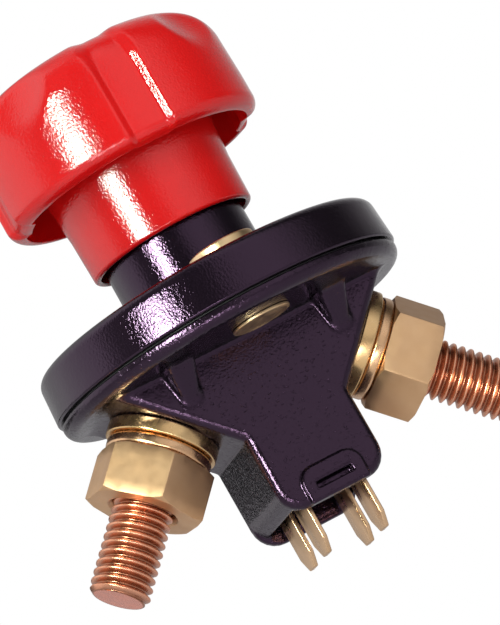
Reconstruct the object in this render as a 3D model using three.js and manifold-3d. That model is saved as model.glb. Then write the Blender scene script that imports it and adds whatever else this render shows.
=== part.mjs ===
// Panel-mounted battery master switch with a red rotary knob, two copper power studs at 45 degrees
// and four auxiliary blade terminals. Millimetres, +Z up towards the knob, front at -Y.
// The origin is the centre of the cover's top face, which lies against the panel, on the knob's axis.
// Everything is drawn in the OFF position.

import * as THREE from "three";
import { ConvexGeometry } from "three/addons/geometries/ConvexGeometry.js";
import { mergeVertices } from "three/addons/utils/BufferGeometryUtils.js";
import Module from "manifold-3d";

const wasm = await Module();
wasm.setup();

// ---------------------------------------------------------------- driving dimensions

const GAP = 0.3; // running and assembly gap between neighbouring pieces
const TRAVEL = 3.0; // how far the plunger moves down from OFF to ON
const TURN = 90; // knob turn from OFF to ON, degrees
const ROUND = 64; // facets round a large circle
const SMALL_ROUND = 32; // facets round a fastener
const KNOB_ROUND = 120; // facets round the knob, so that the edges of its grooves fall on them

const COVER = { edgeR: 31.0, topR: 30.5, shoulder: 1.9, wall: 3.3, plate: 3.2, bottom: -8.3 };
const COVER_TOP = { flatR: 24, fall: 0.4 }; // the top face is flat to this radius, then falls away a little
const STEM = { r: 12.3, baseR: 12.4, top: 14.6, hollowR: 10.3, ceiling: 9.5 };
const GASKET = { outerR: 29.9, innerR: 24.6, thickness: 0.3 };
const FLANGE = { r: 30.6, top: -8.6, bottom: -11.1, round: 1.9 };

const STUD_AXES_Z = -0.58; // height at which the two stud axes meet on the knob's axis
const STUD_ANGLE = 135; // from +Z to each stud's direction, degrees
const FACE_L = 25.0; // distances along a stud from the meeting point: the slanted outer face,
const WALL_L = 21.5; // the inner face of the slanted wall
const STUD = { r: 4.95, end: 53.0, chamfer: 0.8, headLow: 18.2, headHigh: 21.2, headX: 13, headY: 15 };
const WASHER = { outerR: 9.05, innerR: 5.4, thickness: 2.4 };
const LOCK_WASHER = { outerR: 8.55, innerR: 5.3, thickness: 2.2, split: 10 };
const NUT = { acrossFlats: 17, height: 8.4, boreR: 5.25, chamferR: 8.9, chamferSlope: 0.55 };
const SEAT_GAP = 0.05; // drawn between stacked washers and the nut

const CASE = { halfDepth: 10.9, neckX: 9.63, bottom: -40.35, rearBottom: -41.3, cornerR: 4.2 };
const CAVITY = { halfDepth: 8.4, neckX: 7.8 };
const PARTITION = { top: -24.85, bottom: -26.85, holeR: 2.8 };
const SHROUD = { halfDepth: 9.1, ledge: -33.7 };
const BLOCK = { x: 7.5, y: 8.8, top: -34.0, bottom: -36.5 };
const LATCH = { width: 10.9, height: 5.6, cornerR: 2.5, proud: 0.8, slotX: 6.6, slotZ: 1.1 };
const LATCH_SLOT = { z: -37.9, floor: 0.6 }; // height of its middle, and what is left of the wall behind it
const RIB = { x: 14, reach: 5.5, depth: 6.8, topHalf: 2.6, tipHalf: 1.4 };

const INSERT = { y: 18.15, shankR: 4.1, topR: 5.6, topZ: 1.95, lowR: 5, lowZ: -11.6, dome: 0.4, boreR: 2.1 };
const INSERT_BORE_DEPTH = 10;

const BLADE = { x: 5.2, y: 4.75, width: 6.3, thick: 0.8, taper: 2.4, tipHalf: 1.5 };
const BLADE_TIP = { left: -47.6, right: -48.2 }; // the right-hand pair stands a little further out
const PAD = { inner: 2.8, halfWidth: 2.35, openTop: -32.05, closedTop: -28.15 };
const BRIDGE = { inner: 2.6, outer: 4.5, halfLength: 7.2, thick: 0.8, openTop: -27.95, closedTop: -29.25 };
const CARRIER = { top: -27.15, bottom: -30.75, armX: 5.6, armY: 1.3, coreX: 2.3, coreY: 3.0 };

const PIN = { r: 1.5, halfLength: 9.3, z: 2.5 };
const SPINDLE = { coreR: 4, low: -3, collarR: 7, collarLow: 7.2, collarHigh: 9.2, bearingR: 5, square: 7 };
const SPINDLE_TOP = { squareLow: 14.9, squareHigh: 27.0, screwR: 2.3, screwLow: 17 };
const O_RING = { z: 12.2, ringR: 4.3, cordR: 0.75, grooveR: 3.4, grooveHalf: 1.0 };

const CAM = { innerR: 5.0, outerR: 9.6, base: -2.5, lead: 20, sweep: 132, steps: 14 };
const PLUNGER = { discLow: -4.0, discHigh: -2.0, boreR: 4.4, boreLow: -9, guideX: 6, guideY: 8.1 };
const GUIDE_LOW = -11.05; // underside of the plunger's guide block, on the moving contact's legs
const SADDLE = { x: 3.8, y: 5.8, low: -14.3 };
const ROD = { r: 2.4, low: -26.95, tipR: 1.3, tipLow: -30.45 };
const CONTACT = { faceL: 15.8, thick: 3.0, halfDepth: 6, low: -17.55 };
const SPRING = { meanR: 4.2, wireR: 0.5, turns: 2.6, top: -17.75, bottom: -24.65 };

const KNOB = { r: 22.9, shoulderR: 22.7, low: 21.55, rim: 2.3, arc: 7.5, crown: 42.1, top: 42.7 };
const SKIRT = { innerR: 20.4, highR: 19.4, ceiling: 32.5 };
const SLEEVE = { low: 9.3, boreR: 13.3, lowR: 14.4, highR: 16.3, webLow: 15.4 };
// Four grooves run up the knob's wall and over its shoulder. The wall is as thick there as elsewhere.
// Azimuths are in degrees from the front, -Y, towards +X.
const GROOVE = { azimuth: -3.5, halfWidth: 9, depth: 1.1, fade: 0.55 };
// Between the grooves a round cutter that leans inwards has taken a scoop out of the shoulder.
const SCOOP = { azimuth: 41.5, cutterR: 17, rootR: 22.8, rootZ: 33, lean: 0.5 };
const RECESS = { r: 8.0, low: 29.0, capR: 9.0, capLow: 40.3 };
const SCREW = { r: 2.0, low: 18.5, headR: 3.9, headLow: 29.3, headHigh: 31.7, slot: 0.9, slotDepth: 1.0 };

// ---------------------------------------------------------------- materials

function material(color, roughness, metalness) {
  return new THREE.MeshStandardMaterial({ color, roughness, metalness });
}

const RED_PLASTIC = material(0xd8141c, 0.3, 0);
const BLACK_PLASTIC = material(0x2a2230, 0.3, 0);
const NATURAL_PLASTIC = material(0xd9d2bf, 0.5, 0);
const RUBBER = material(0x151515, 0.8, 0);
const BRASS = material(0xc9a765, 0.35, 1);
const BRONZE = material(0xb98a63, 0.3, 1);
const COPPER = material(0xb96c4a, 0.35, 1);
const STEEL = material(0xb8babd, 0.35, 1);

// ---------------------------------------------------------------- geometry helpers

const radians = THREE.MathUtils.degToRad;

/** A closed geometry as a manifold solid, with shared corners merged and faces turned outwards. */
function solid(geometry) {
  const bare = geometry.clone();
  for (const name of ["normal", "uv"]) bare.deleteAttribute(name);
  const merged = mergeVertices(bare, 1e-4);
  const at = merged.attributes.position;
  const corners = [0, 1, 2].map(() => new THREE.Vector3());
  const triangles = [];
  let volume = 0;
  for (let i = 0; i < merged.index.count; i += 3) {
    const [a, b, c] = [0, 1, 2].map((k) => merged.index.getX(i + k));
    if (a === b || b === c || c === a) continue;
    [a, b, c].forEach((vertex, k) => corners[k].fromBufferAttribute(at, vertex));
    volume += corners[0].dot(corners[1].clone().cross(corners[2]));
    triangles.push([a, b, c]);
  }
  const turned = volume < 0 ? triangles.map(([a, b, c]) => [a, c, b]) : triangles;
  const mesh = new wasm.Mesh({
    numProp: 3,
    vertProperties: new Float32Array(at.array),
    triVerts: new Uint32Array(turned.flat()),
  });
  return new wasm.Manifold(mesh);
}

/** A manifold solid as a three.js geometry. */
function surface(manifold) {
  const mesh = manifold.getMesh();
  const geometry = new THREE.BufferGeometry();
  geometry.setAttribute("position", new THREE.BufferAttribute(new Float32Array(mesh.vertProperties), 3));
  geometry.setIndex(new THREE.BufferAttribute(new Uint32Array(mesh.triVerts), 1));
  geometry.computeVertexNormals();
  return geometry;
}

/** The union of a list of solids, less each solid in the list of cuts. */
function build(parts, cuts = []) {
  const whole = parts.reduce((sum, part) => sum.add(part));
  return cuts.reduce((rest, cut) => rest.subtract(cut), whole);
}

/** Points [x, z] along an arc round (x, z), from one angle to another in degrees. */
function arc(x, z, r, from, to, steps) {
  return Array.from({ length: steps + 1 }, (_, i) => {
    const angle = radians(from + ((to - from) * i) / steps);
    return [x + r * Math.cos(angle), z + r * Math.sin(angle)];
  });
}

/** A solid of revolution about Z from a profile of [radius, z] that starts and ends on the axis. */
function revolve(profile, segments = ROUND) {
  const points = profile.map(([r, z]) => new THREE.Vector2(r, z));
  return solid(new THREE.LatheGeometry(points, segments).rotateX(Math.PI / 2));
}

function rod(r, low, high, segments = SMALL_ROUND) {
  return revolve([[0, low], [r, low], [r, high], [0, high]], segments);
}

function ring(outerR, innerR, low, high, segments = SMALL_ROUND) {
  return rod(outerR, low, high, segments).subtract(rod(innerR, low - 1, high + 1, segments));
}

function block(x, y, z) {
  const box = new THREE.BoxGeometry(x[1] - x[0], y[1] - y[0], z[1] - z[0]);
  return solid(box.translate((x[0] + x[1]) / 2, (y[0] + y[1]) / 2, (z[0] + z[1]) / 2));
}

function centredBlock(halfX, halfY, low, high) {
  return block([-halfX, halfX], [-halfY, halfY], [low, high]);
}

function extrude(outline, depth) {
  const shape = new THREE.Shape(outline.map(([a, b]) => new THREE.Vector2(a, b)));
  return new THREE.ExtrudeGeometry(shape, { depth, bevelEnabled: false });
}

/** An outline of [x, z] points made solid between two values of y. */
function prismY(outline, low, high) {
  return solid(extrude(outline, high - low).rotateX(Math.PI / 2).translate(0, high, 0));
}

/** An outline of [y, z] points made solid between two values of x. */
function prismX(outline, low, high) {
  const axes = [new THREE.Vector3(0, 1, 0), new THREE.Vector3(0, 0, 1), new THREE.Vector3(1, 0, 0)];
  const turn = new THREE.Matrix4().makeBasis(...axes);
  return solid(extrude(outline, high - low).applyMatrix4(turn).translate(low, 0, 0));
}

/** An outline of [x, z] points on the right, completed by its mirror image on the left. */
function mirrored(half) {
  return [...half, ...half.map(([x, z]) => [-x, z]).reverse()];
}

/** Height of a plane square to the studs, at a distance along them and a distance x from the axis. */
function slantZ(along, x) {
  return x - along * Math.SQRT2 + STUD_AXES_Z;
}

/** How far from the axis such a plane lies at a height. */
function slantX(along, z) {
  return z + along * Math.SQRT2 - STUD_AXES_Z;
}

const root = new THREE.Group();

function place(name, shape, look, group = root) {
  const geometry = shape instanceof THREE.BufferGeometry ? shape : surface(shape);
  const mesh = new THREE.Mesh(geometry, look.clone());
  mesh.name = name;
  group.add(mesh);
}

const SIDES = [{ name: "left", sign: -1 }, { name: "right", sign: 1 }];
const ENDS = [{ name: "front", sign: -1 }, { name: "rear", sign: 1 }];

// ---------------------------------------------------------------- cover, gasket and case

/** Something made at the two insert positions. */
function atInserts(make) {
  return ENDS.map(({ sign }) => make().translate([0, sign * INSERT.y, 0]));
}

/** Round flange with the bearing stem, hollow beneath, with a boss round each insert. */
function cover() {
  const { edgeR, topR, shoulder, wall, plate, bottom } = COVER;
  const low = -COVER_TOP.fall - shoulder; // where the shoulder starts
  const shell = revolve([
    [0, bottom],
    [edgeR - 0.3, bottom],
    [edgeR, bottom + 0.3],
    [topR, low],
    ...arc(topR - shoulder, low, shoulder, 22, 86, 4),
    [COVER_TOP.flatR, 0],
    [STEM.baseR, 0],
    [STEM.r, STEM.top - 0.5],
    [STEM.r - 0.5, STEM.top],
    [0, STEM.top],
  ]);
  const hollow = revolve([
    [0, bottom - 1],
    [edgeR - wall, bottom - 1],
    [topR - wall, -plate],
    [STEM.hollowR, -plate],
    [STEM.hollowR, STEM.ceiling],
    [0, STEM.ceiling],
  ]);
  const bosses = atInserts(() => rod(INSERT.shankR + 2.4, bottom, -plate + 0.5, 20));
  const holes = atInserts(() => rod(INSERT.shankR + GAP, bottom - 1, 1, 20));
  const bearing = rod(SPINDLE.bearingR + GAP, STEM.ceiling - 1, STEM.top + 1);
  return build([shell.subtract(hollow), ...bosses], [...holes, bearing]);
}

function gasket() {
  return ring(GASKET.outerR, GASKET.innerR, FLANGE.top, FLANGE.top + GASKET.thickness, ROUND);
}

/** The lower flange of the case, rounded at its lower edge. */
function caseFlange() {
  const { r, top, bottom, round } = FLANGE;
  return revolve([
    [0, bottom],
    ...arc(r - round, bottom + round, round, -90, 0, 4),
    [r, top],
    [0, top],
  ]);
}

/** The V-shaped contact housing and its straight neck, as one outline through the case's depth. */
function caseOutline(bottom) {
  const { neckX, cornerR } = CASE;
  return mirrored([
    ...arc(neckX - cornerR, bottom + cornerR, cornerR, -90, 0, 5),
    [neckX, slantZ(FACE_L, neckX)],
    [slantX(FACE_L, FLANGE.bottom), FLANGE.bottom],
    [slantX(FACE_L, FLANGE.bottom), FLANGE.bottom + 1],
  ]);
}

function contactChamber() {
  const open = FLANGE.top + 1;
  return mirrored([
    [CAVITY.neckX, PARTITION.top],
    [CAVITY.neckX, slantZ(WALL_L, CAVITY.neckX)],
    [slantX(WALL_L, open), open],
  ]);
}

/** Gusset between the flange's underside and the front or rear face of the case. */
function gusset(x, sign) {
  const face = sign * (CASE.halfDepth - 0.5);
  const reach = sign * (CASE.halfDepth + RIB.reach);
  const top = FLANGE.bottom + 0.5;
  const tip = FLANGE.bottom - RIB.depth;
  const corners = [
    ...[face, reach].flatMap((y) => [-1, 1].map((s) => [x + s * RIB.topHalf, y, top])),
    ...[-1, 1].map((s) => [x + s * RIB.tipHalf, face, tip]),
  ];
  return solid(new ConvexGeometry(corners.map((corner) => new THREE.Vector3(...corner))));
}

/** Arched lip on the front of the shroud. A blind slot in it takes the plug's latch. */
function latchLip() {
  const { width, height, cornerR, proud } = LATCH;
  const top = CASE.bottom + height;
  const outline = mirrored([
    [width / 2, CASE.bottom],
    ...arc(width / 2 - cornerR, top - cornerR, cornerR, 0, 90, 4),
  ]);
  return prismY(outline, -CASE.halfDepth - proud, -CASE.halfDepth + 0.5);
}

function studHole(sign) {
  const hole = rod(STUD.r + GAP, WALL_L - 1, FACE_L + 1);
  return hole.rotate([0, sign * STUD_ANGLE, 0]).translate([0, 0, STUD_AXES_Z]);
}

function switchCase() {
  const gussets = SIDES.flatMap((side) => ENDS.map((end) => gusset(side.sign * RIB.x, end.sign)));
  const slotY = [-CASE.halfDepth - 2, -SHROUD.halfDepth - LATCH_SLOT.floor];
  const slotZ = [LATCH_SLOT.z - LATCH.slotZ / 2, LATCH_SLOT.z + LATCH.slotZ / 2];
  return build(
    [
      caseFlange(),
      prismY(caseOutline(CASE.bottom), -CASE.halfDepth, CASE.halfDepth),
      prismY(caseOutline(CASE.rearBottom), SHROUD.halfDepth, CASE.halfDepth),
      latchLip(),
      ...gussets,
    ],
    [
      prismY(contactChamber(), -CAVITY.halfDepth, CAVITY.halfDepth),
      centredBlock(CAVITY.neckX, CAVITY.halfDepth, SHROUD.ledge - 1, PARTITION.bottom),
      centredBlock(CAVITY.neckX, SHROUD.halfDepth, CASE.rearBottom - 1, SHROUD.ledge),
      rod(PARTITION.holeR, PARTITION.bottom - 1, PARTITION.top + 1),
      block([-LATCH.slotX / 2, LATCH.slotX / 2], slotY, slotZ),
      ...SIDES.map((side) => studHole(side.sign)),
      ...atInserts(() => rod(INSERT.shankR + GAP, FLANGE.bottom - 1, FLANGE.top + 1, 20)),
    ],
  );
}

/** Flanged brass bush with a blind threaded bore, clinched over the case's flange. */
function insert() {
  const seat = 0.05;
  const { shankR, topR, topZ, lowR, lowZ, dome, boreR } = INSERT;
  const bush = revolve(
    [
      [0, lowZ - dome],
      [lowR * 0.6, lowZ - dome * 0.7],
      [lowR, lowZ],
      [lowR, FLANGE.bottom - seat],
      [shankR, FLANGE.bottom - seat],
      [shankR, seat],
      [topR, seat],
      [topR, topZ - 0.4],
      [topR - 0.4, topZ],
      [0, topZ],
    ],
    SMALL_ROUND,
  );
  return bush.subtract(rod(boreR, topZ - INSERT_BORE_DEPTH, topZ + 1, 16));
}

place("cover", cover(), BLACK_PLASTIC);
place("gasket", gasket(), RUBBER);
place("case", switchCase(), BLACK_PLASTIC);
for (const { name, sign } of ENDS) {
  place(`${name}_mounting_insert`, insert().translate([0, sign * INSERT.y, 0]), BRASS);
}

// ---------------------------------------------------------------- power studs

/** Copper stud whose square head is the fixed contact inside the case. */
function stud() {
  const { r, end, chamfer, headLow, headHigh, headX, headY } = STUD;
  const shank = revolve(
    [[0, headHigh - 0.5], [r, headHigh - 0.5], [r, end - chamfer], [r - chamfer, end], [0, end]],
    SMALL_ROUND,
  );
  return build([shank, centredBlock(headX / 2, headY / 2, headLow, headHigh)]);
}

/** Split spring washer. */
function lockWasher(low, high) {
  const { outerR, innerR, split } = LOCK_WASHER;
  const outline = [
    ...arc(0, 0, outerR, 90 + split / 2, 450 - split / 2, 36),
    ...arc(0, 0, innerR, 450 - split / 2, 90 + split / 2, 36),
  ];
  return extrude(outline, high - low).translate(0, 0, low);
}

/** Hexagon nut with both ends chamfered. */
function nut(low, high) {
  const { acrossFlats, boreR, chamferR, chamferSlope } = NUT;
  const cornerR = acrossFlats / Math.sqrt(3);
  const drop = (cornerR + 0.2 - chamferR) * chamferSlope;
  const turned = revolve(
    [
      [0, low],
      [chamferR, low],
      [cornerR + 0.2, low + drop],
      [cornerR + 0.2, high - drop],
      [chamferR, high],
      [0, high],
    ],
    48,
  );
  return rod(cornerR, low, high, 6).intersect(turned).subtract(rod(boreR, low - 1, high + 1));
}

const STACK = { washer: FACE_L + SEAT_GAP };
STACK.lockWasher = STACK.washer + WASHER.thickness + SEAT_GAP;
STACK.nut = STACK.lockWasher + LOCK_WASHER.thickness + SEAT_GAP;
const NUT_TURN = { left: 113.1, right: 95.6 }; // how each nut happens to stop when tightened, degrees

for (const { name, sign } of SIDES) {
  const axis = new THREE.Group();
  axis.position.z = STUD_AXES_Z;
  axis.rotation.y = radians(sign * STUD_ANGLE);
  root.add(axis);
  const washerTop = STACK.washer + WASHER.thickness;
  const nutSolid = nut(STACK.nut, STACK.nut + NUT.height).rotate([0, 0, NUT_TURN[name]]);
  place(`${name}_stud`, stud(), COPPER, axis);
  place(`${name}_flat_washer`, ring(WASHER.outerR, WASHER.innerR, STACK.washer, washerTop, 40), BRASS, axis);
  place(`${name}_lock_washer`, lockWasher(STACK.lockWasher, STACK.nut - SEAT_GAP), BRONZE, axis);
  place(`${name}_nut`, nutSolid, BRASS, axis);
}

// ---------------------------------------------------------------- auxiliary terminals

function terminalBlock() {
  const slots = SIDES.flatMap((side) =>
    ENDS.map((end) => {
      const [halfX, halfY] = [BLADE.thick / 2 + GAP, BLADE.width / 2 + GAP];
      const slot = centredBlock(halfX, halfY, BLOCK.bottom - 1, BLOCK.top + 1);
      return slot.translate([side.sign * BLADE.x, end.sign * BLADE.y, 0]);
    }),
  );
  return build([centredBlock(BLOCK.x, BLOCK.y, BLOCK.bottom, BLOCK.top)], slots);
}

/** Blade with a pad bent inwards at its top, where the bridge closes the circuit. */
function blade(side, end) {
  const half = BLADE.width / 2;
  const tip = BLADE_TIP[side.name];
  const top = side.name === "left" ? PAD.openTop : PAD.closedTop;
  const outline = mirrored([
    [BLADE.tipHalf * 0.5, tip],
    [BLADE.tipHalf, tip + 0.5],
    [half, tip + BLADE.taper],
    [half, top],
  ]);
  const plate = prismX(outline, BLADE.x - BLADE.thick / 2, BLADE.x + BLADE.thick / 2);
  const pad = block(
    [PAD.inner, BLADE.x],
    [-PAD.halfWidth, PAD.halfWidth],
    [top - BLADE.thick, top],
  );
  const shape = plate.add(pad).rotate([0, 0, side.sign < 0 ? 180 : 0]);
  return shape.translate([0, end.sign * BLADE.y, 0]);
}

/** Bar that joins the two pads on its side. */
function bridge(side) {
  const top = side.name === "left" ? BRIDGE.openTop : BRIDGE.closedTop;
  const x = [side.sign * BRIDGE.inner, side.sign * BRIDGE.outer].sort((a, b) => a - b);
  return block(x, [-BRIDGE.halfLength, BRIDGE.halfLength], [top - BRIDGE.thick, top]);
}

function bridgeSlot(side) {
  const top = side.name === "left" ? BRIDGE.openTop : BRIDGE.closedTop;
  const x = [side.sign * (BRIDGE.inner - GAP), side.sign * (BRIDGE.outer + GAP)].sort((a, b) => a - b);
  const margin = GAP * 0.8;
  return block(x, [-CARRIER.coreY - 1, CARRIER.coreY + 1], [top - BRIDGE.thick - margin, top + margin]);
}

/** Cross-shaped carrier that takes both bridges up and down with the plunger. */
function bridgeCarrier() {
  return build(
    [
      centredBlock(CARRIER.armX, CARRIER.armY, CARRIER.bottom, CARRIER.top),
      centredBlock(CARRIER.coreX, CARRIER.coreY, CARRIER.bottom, CARRIER.top),
    ],
    [...SIDES.map(bridgeSlot), rod(ROD.tipR + GAP, CARRIER.bottom - 1, CARRIER.top + 1, 16)],
  );
}

place("terminal_block", terminalBlock(), BLACK_PLASTIC);
for (const side of SIDES) {
  for (const end of ENDS) place(`${side.name}_${end.name}_blade`, blade(side, end), BRASS);
}
place("bridge_carrier", bridgeCarrier(), NATURAL_PLASTIC);
place("closing_bridge", bridge(SIDES[0]), BRASS);
place("opening_bridge", bridge(SIDES[1]), BRASS);

// ---------------------------------------------------------------- plunger and main contact

/** One helical ramp: it rises clockwise, by the travel in each turn from OFF to ON. */
function camRamp(startAngle) {
  const { innerR, outerR, base, lead, sweep, steps } = CAM;
  const touch = PIN.z - PIN.r - 1.5 * GAP;
  const positions = [];
  for (let i = 0; i <= steps; i += 1) {
    const turned = (sweep * i) / steps - lead;
    const angle = radians(startAngle - turned);
    const top = touch + (TRAVEL * turned) / TURN;
    for (const [r, z] of [[innerR, base], [outerR, base], [outerR, top], [innerR, top]]) {
      positions.push(r * Math.cos(angle), r * Math.sin(angle), z);
    }
  }
  const index = [0, 1, 2, 0, 2, 3];
  for (let i = 0; i < steps; i += 1) {
    for (let k = 0; k < 4; k += 1) {
      const [a, b] = [4 * i + k, 4 * i + ((k + 1) % 4)];
      index.push(a, a + 4, b, b, a + 4, b + 4);
    }
  }
  const last = 4 * steps;
  index.push(last, last + 2, last + 1, last, last + 3, last + 2);
  const geometry = new THREE.BufferGeometry();
  geometry.setAttribute("position", new THREE.Float32BufferAttribute(positions, 3));
  geometry.setIndex(index);
  return solid(geometry);
}

function plunger() {
  const { discLow, discHigh, boreR, boreLow, guideX, guideY } = PLUNGER;
  const stack = build(
    [
      rod(CAM.outerR, discLow, discHigh, 40),
      centredBlock(guideX, guideY, GUIDE_LOW, discLow + 0.5),
      centredBlock(SADDLE.x, SADDLE.y, SADDLE.low, GUIDE_LOW + 0.5),
      rod(ROD.r, ROD.low, SADDLE.low + 0.5, 20),
      rod(ROD.tipR, ROD.tipLow, ROD.low + 0.5, 16),
    ],
    [rod(boreR, boreLow, discHigh + 1, 24)],
  );
  return build([stack, camRamp(0), camRamp(180)]);
}

/** Bent copper bar whose two slanted outer faces meet the stud heads. */
function movingContact() {
  const { faceL, thick, halfDepth, low } = CONTACT;
  const top = GUIDE_LOW;
  const outline = mirrored([
    [slantX(faceL, low), low],
    [slantX(faceL, top), top],
    [slantX(faceL - thick, top), top],
    [slantX(faceL - thick, low + thick), low + thick],
  ].reverse());
  const bar = prismY(outline, -halfDepth, halfDepth);
  const lift = GAP * 0.3; // the saddle and the guide rest on the bar with this gap
  return bar.subtract(rod(ROD.r + GAP, low - 1, low + thick + 1, 20)).translate([0, 0, -lift]);
}

class Helix extends THREE.Curve {
  getPoint(t, target = new THREE.Vector3()) {
    const { meanR, wireR, turns, top, bottom } = SPRING;
    const angle = 2 * Math.PI * turns * t;
    const z = bottom + wireR + (top - bottom - 2 * wireR) * t;
    return target.set(meanR * Math.cos(angle), meanR * Math.sin(angle), z);
  }
}

function returnSpring() {
  const wire = new THREE.Shape().absarc(0, 0, SPRING.wireR, 0, 2 * Math.PI);
  const options = { steps: 34, curveSegments: 4, bevelEnabled: false, extrudePath: new Helix() };
  return solid(new THREE.ExtrudeGeometry(wire, options));
}

place("plunger", plunger(), NATURAL_PLASTIC);
place("moving_contact", movingContact(), COPPER);
place("return_spring", returnSpring(), STEEL);

// ---------------------------------------------------------------- knob and spindle

/** Angle from the nearest of four features set 90 degrees apart, one of them at a given azimuth. */
function angleFrom(feature, azimuth) {
  return THREE.MathUtils.euclideanModulo(azimuth - feature + 45, 90) - 45;
}

/** Radius that the scoop's cutter leaves at an azimuth and a height. */
function scoopRadius(azimuth, z) {
  const { cutterR, rootR, rootZ, lean } = SCOOP;
  const centre = rootR - lean * (z - rootZ) + cutterR;
  const angle = radians(angleFrom(SCOOP.azimuth, azimuth));
  const aside = centre * Math.sin(angle);
  if (Math.abs(aside) >= cutterR) return Infinity;
  return centre * Math.cos(angle) - Math.sqrt(cutterR ** 2 - aside ** 2);
}

/** A solid turned from a profile, and from a second profile where the knob's grooves are. */
function grooved(plain, sunk) {
  const step = 360 / KNOB_ROUND;
  const first = GROOVE.azimuth + step / 2;
  const points = plain.map(([r, z]) => new THREE.Vector2(r, z));
  const lathe = new THREE.LatheGeometry(points, KNOB_ROUND, radians(first)).rotateX(Math.PI / 2);
  const at = lathe.attributes.position;
  for (let i = 0; i < at.count; i += 1) {
    const azimuth = first + step * Math.floor(i / plain.length);
    const inGroove = Math.abs(angleFrom(GROOVE.azimuth, azimuth)) < GROOVE.halfWidth;
    const [r, z] = (inGroove ? sunk : plain)[i % plain.length];
    const radius = Math.min(r, scoopRadius(azimuth, z));
    at.setXYZ(i, radius * Math.sin(radians(azimuth)), -radius * Math.cos(radians(azimuth)), z);
  }
  return solid(lathe);
}

/** The knob's outline with its wall set in by a depth, and its shoulder by less and less of it. */
function knobOutline(depth) {
  const { r, shoulderR, low, rim, arc: arcR, crown, top } = KNOB;
  const shoulder = [0, 1, 2, 3, 4, 5].map((i) => {
    const angle = (i / 5) * (Math.PI / 2);
    const reach = arcR - depth * (1 - GROOVE.fade * Math.sin(angle) ** 2);
    return [shoulderR - arcR + reach * Math.cos(angle), crown - arcR + reach * Math.sin(angle)];
  });
  return [
    [0, low],
    ...arc(r - rim - depth, low + rim, rim, -90, 0, 3),
    [shoulderR - depth, SCOOP.rootZ],
    ...shoulder,
    [12, crown + 0.2],
    [RECESS.capR, top - 0.15],
    [0, top],
  ];
}

/** The space under the skirt, with its wall set in by a depth. */
function hollowOutline(depth) {
  return [
    [0, KNOB.low - 1],
    [SKIRT.innerR - depth, KNOB.low - 1],
    [SKIRT.highR - depth, SKIRT.ceiling - 1.5],
    [SKIRT.highR - depth - 1.5, SKIRT.ceiling],
    [0, SKIRT.ceiling],
  ];
}

function knob() {
  const body = grooved(knobOutline(0), knobOutline(GROOVE.depth));
  const hollow = grooved(hollowOutline(0), hollowOutline(GROOVE.depth));
  const sleeve = revolve([
    [0, SLEEVE.low],
    [SLEEVE.lowR - 0.6, SLEEVE.low],
    [SLEEVE.lowR, SLEEVE.low + 0.6],
    [SLEEVE.highR, SKIRT.ceiling + 0.5],
    [0, SKIRT.ceiling + 0.5],
  ]);
  const socket = SPINDLE.square / 2 + GAP;
  return build(
    [body.subtract(hollow), sleeve],
    [
      rod(SLEEVE.boreR, SLEEVE.low - 1, SLEEVE.webLow, ROUND),
      centredBlock(socket, socket, SLEEVE.webLow - 1, SPINDLE_TOP.squareHigh + GAP),
      rod(SCREW.r + 2 * GAP, SPINDLE_TOP.squareHigh, RECESS.low + 1, 16),
      rod(RECESS.r, RECESS.low, KNOB.top + 1),
      rod(RECESS.capR, RECESS.capLow, KNOB.top + 1),
    ],
  );
}

function knobCap() {
  const low = RECESS.capLow + GAP;
  const r = RECESS.capR - GAP;
  const high = KNOB.top - 0.15;
  return revolve([[0, low], [r, low], [r, high - 0.3], [r - 0.3, high], [0, high]], SMALL_ROUND);
}

function knobScrew() {
  const { r, low, headR, headLow, headHigh, slot, slotDepth } = SCREW;
  const head = [[headR, headLow], [headR, headHigh - 0.7], [headR - 0.7, headHigh], [0, headHigh]];
  const turned = revolve([[0, low], [r, low], [r, headLow], ...head], 24);
  return turned.subtract(centredBlock(headR + 1, slot / 2, headHigh - slotDepth, headHigh + 1));
}

function spindle() {
  const { coreR, low, collarR, collarLow, collarHigh, bearingR, square } = SPINDLE;
  const { squareLow, squareHigh, screwR, screwLow } = SPINDLE_TOP;
  const { z, grooveR, grooveHalf } = O_RING;
  const turned = revolve(
    [
      [0, low],
      [coreR, low],
      [coreR, collarLow],
      [collarR, collarLow],
      [collarR, collarHigh],
      [bearingR, collarHigh],
      [bearingR, z - grooveHalf],
      [grooveR, z - grooveHalf],
      [grooveR, z + grooveHalf],
      [bearingR, z + grooveHalf],
      [bearingR, squareLow],
      [0, squareLow],
    ],
    SMALL_ROUND,
  );
  const crossHole = rod(PIN.r + GAP, -coreR - 1, coreR + 1, 16).rotate([0, 90, 0]).translate([0, 0, PIN.z]);
  return build(
    [turned, centredBlock(square / 2, square / 2, squareLow - 0.5, squareHigh)],
    [rod(screwR, screwLow, squareHigh + 1, 16), crossHole],
  );
}

function crossPin() {
  return rod(PIN.r, -PIN.halfLength, PIN.halfLength, 16).rotate([0, 90, 0]).translate([0, 0, PIN.z]);
}

place("knob", knob(), RED_PLASTIC);
place("knob_cap", knobCap(), RED_PLASTIC);
place("knob_screw", knobScrew(), STEEL);
place("spindle", spindle(), BRASS);
place("cross_pin", crossPin(), STEEL);
const oRing = new THREE.TorusGeometry(O_RING.ringR, O_RING.cordR, 8, 24).translate(0, 0, O_RING.z);
place("spindle_o_ring", oRing, RUBBER);

export default root;
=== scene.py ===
"""Visible pieces, finishes and studio for the battery switch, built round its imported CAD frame.

Lengths are written in millimetres and turned to metres when a mesh is made.
"""

import itertools
import math

import bmesh
import bpy
import numpy as np
from mathutils import Matrix, Vector


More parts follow.
